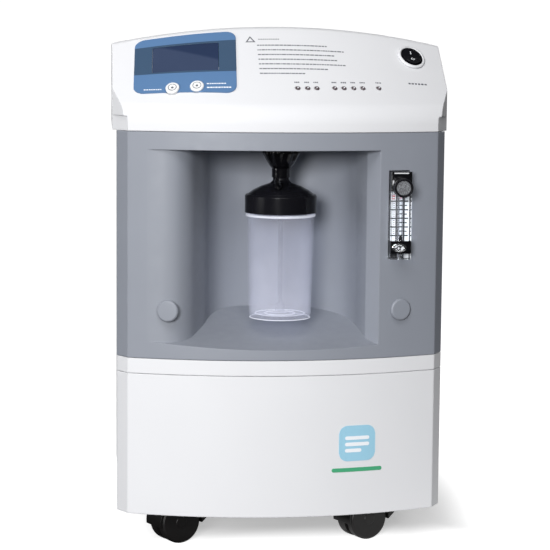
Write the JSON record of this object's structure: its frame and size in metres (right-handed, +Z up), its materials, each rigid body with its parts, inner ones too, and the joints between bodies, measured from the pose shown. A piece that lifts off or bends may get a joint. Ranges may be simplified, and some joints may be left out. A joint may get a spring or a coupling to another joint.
{
  "type": "oxygen concentrator",
  "caption": "Stationary oxygen concentrator on swivel casters, with a sloping control panel, a flowmeter and a humidifier bottle standing in an open front bay.",
  "frame": {"origin": "middle of the whole object's footprint, on the floor", "axes": "+X to the right of the front view, +Y from the front panel to the rear cover, +Z up"},
  "size_m": [0.375, 0.375, 0.6],
  "materials": {
    "white_shell": "moulded, fine grain",
    "grey_panel": "moulded, fine grain",
    "blue_overlay": "printed film, satin",
    "screen_glass": "clear over a dark display",
    "circuit_board": "laminate with solder mask",
    "white_button": "satin moulding",
    "black_gloss": "polished moulding",
    "black_plastic": "moulded, fine grain",
    "red_plastic": "polished moulding",
    "clear_acrylic": "clear, polished",
    "dip_plastic": "translucent moulding",
    "bright_metal": "plated and polished",
    "scale_white": "printed plate",
    "milky_plastic": "translucent moulding",
    "black_rubber": "moulded",
    "caster_plastic": "moulded nylon",
    "caster_tread": "moulded nylon",
    "painted_steel": "powder coat",
    "filter_foam": "open-cell foam",
    "cast_housing": "die cast, as cast",
    "plain_aluminium": "drawn and machined",
    "hose_rubber": "extruded silicone"
  },
  "bodies": {
    "cabinet": {"top_cap": "white_shell", "grip_left": "white_shell", "grip_right": "white_shell", "display_overlay": "blue_overlay", "lcd_window": "screen_glass", "display_board": "circuit_board", "lamp_strip": "circuit_board", "switch_bezel": "white_button", "lower_front_cover": "white_shell", "front_belt": "white_shell", "side_cover_left": "white_shell", "side_cover_right": "white_shell", "front_mid_panel": "grey_panel", "screw_cap_left": "grey_panel", "screw_cap_right": "grey_panel", "flowmeter_body": "clear_acrylic", "flowmeter_seat": "bright_metal", "flowmeter_scale": "scale_white", "flowmeter_block": "black_plastic", "lid_gasket": "black_rubber", "humidifier_lid": "black_gloss", "outlet_spout": "black_gloss", "dip_tube": "dip_plastic", "outlet_fitting": "bright_metal", "chassis_base": "painted_steel", "rear_cover": "white_shell", "intake_filter": "filter_foam", "power_inlet": "black_plastic", "breaker_body": "black_plastic", "compressor": "cast_housing", "compressor_head_left": "plain_aluminium", "compressor_head_right": "plain_aluminium", "rubber_mount_left": "black_rubber", "rubber_mount_right": "black_rubber", "fan_frame": "black_plastic", "sieve_tower_left": "plain_aluminium", "sieve_tower_right": "plain_aluminium", "product_tank": "plain_aluminium", "valve_block": "plain_aluminium", "control_board": "circuit_board", "hose_product": "hose_rubber", "hose_humidifier": "hose_rubber"},
    "power_rocker": {"power_rocker": "black_gloss"},
    "button_left": {"button_left": "white_button"},
    "button_right": {"button_right": "white_button"},
    "flow_knob": {"flow_knob": "black_gloss"},
    "flow_float": {"flow_float": "black_gloss"},
    "wing_nut": {"wing_nut": "black_gloss"},
    "humidifier_jar": {"humidifier_jar": "milky_plastic"},
    "filter_door": {"filter_door": "white_shell"},
    "fan_rotor": {"fan_rotor": "black_plastic"},
    "breaker_button": {"breaker_button": "red_plastic"},
    "caster_hood_front_left": {"caster_hood_front_left": "caster_plastic"},
    "caster_wheels_front_left": {"caster_wheels_front_left": "caster_tread"},
    "caster_hood_front_right": {"caster_hood_front_right": "caster_plastic"},
    "caster_wheels_front_right": {"caster_wheels_front_right": "caster_tread"},
    "caster_hood_rear_left": {"caster_hood_rear_left": "caster_plastic"},
    "caster_wheels_rear_left": {"caster_wheels_rear_left": "caster_tread"},
    "caster_hood_rear_right": {"caster_hood_rear_right": "caster_plastic"},
    "caster_wheels_rear_right": {"caster_wheels_rear_right": "caster_tread"}
  },
  "joints": [
    {"name": "power_switch", "type": "hinge", "parent": "cabinet", "child": "power_rocker", "pos_m": [0.14875, -0.09129, 0.56582], "axis": [0.9655, 0.2318, -0.1184], "range_deg": [0, 16]},
    {"name": "left_button_press", "type": "slide", "parent": "cabinet", "child": "button_left", "axis": [0.2068, 0.6918, -0.6918], "range_m": [0, 0.0015], "stiffness_N_per_m": 400},
    {"name": "right_button_press", "type": "slide", "parent": "cabinet", "child": "button_right", "axis": [0.1637, 0.6976, -0.6976], "range_m": [0, 0.0015], "stiffness_N_per_m": 400},
    {"name": "flow_valve", "type": "hinge", "parent": "cabinet", "child": "flow_knob", "pos_m": [0.126, -0.1725, 0.4265], "axis": [0, -1, 0], "range_deg": [0, 1080]},
    {"name": "float_rise", "type": "slide", "parent": "cabinet", "child": "flow_float", "axis": [0, 0, 1], "range_m": [0, 0.044]},
    {"name": "nut_turn", "type": "hinge", "parent": "cabinet", "child": "wing_nut", "pos_m": [-0.001, -0.122, 0.45], "axis": [0, 0, -1], "range_deg": [0, 1080]},
    {"name": "jar_unscrew", "type": "hinge", "parent": "cabinet", "child": "humidifier_jar", "pos_m": [-0.001, -0.122, 0.34], "axis": [0, 0, -1], "range_deg": [0, 360]},
    {"name": "filter_door_hinge", "type": "hinge", "parent": "cabinet", "child": "filter_door", "pos_m": [0, 0.1865, 0.3], "axis": [-1, 0, 0], "range_deg": [0, 90]},
    {"name": "fan_spin", "type": "hinge", "parent": "cabinet", "child": "fan_rotor", "pos_m": [0, 0.102, 0.133], "axis": [0, 1, 0], "continuous": true},
    {"name": "breaker_trip", "type": "slide", "parent": "cabinet", "child": "breaker_button", "axis": [0, 1, 0], "range_m": [0, 0.003]},
    {"name": "swivel_front_left", "type": "hinge", "parent": "cabinet", "child": "caster_hood_front_left", "pos_m": [-0.1, -0.022, 0.06], "axis": [0, 0, 1], "continuous": true},
    {"name": "roll_front_left", "type": "hinge", "parent": "caster_hood_front_left", "child": "caster_wheels_front_left", "pos_m": [-0.11089, -0.02703, 0.025], "axis": [-0.4195, 0.9078, 0], "continuous": true},
    {"name": "swivel_front_right", "type": "hinge", "parent": "cabinet", "child": "caster_hood_front_right", "pos_m": [0.122, -0.022, 0.06], "axis": [0, 0, 1], "continuous": true},
    {"name": "roll_front_right", "type": "hinge", "parent": "caster_hood_front_right", "child": "caster_wheels_front_right", "pos_m": [0.11111, -0.02703, 0.025], "axis": [-0.4195, 0.9078, 0], "continuous": true},
    {"name": "swivel_rear_left", "type": "hinge", "parent": "cabinet", "child": "caster_hood_rear_left", "pos_m": [-0.1, 0.132, 0.06], "axis": [0, 0, 1], "continuous": true},
    {"name": "roll_rear_left", "type": "hinge", "parent": "caster_hood_rear_left", "child": "caster_wheels_rear_left", "pos_m": [-0.11089, 0.12697, 0.025], "axis": [-0.4195, 0.9078, 0], "continuous": true},
    {"name": "swivel_rear_right", "type": "hinge", "parent": "cabinet", "child": "caster_hood_rear_right", "pos_m": [0.122, 0.132, 0.06], "axis": [0, 0, 1], "continuous": true},
    {"name": "roll_rear_right", "type": "hinge", "parent": "caster_hood_rear_right", "child": "caster_wheels_rear_right", "pos_m": [0.11111, 0.12697, 0.025], "axis": [-0.4195, 0.9078, 0], "continuous": true}
  ]
}
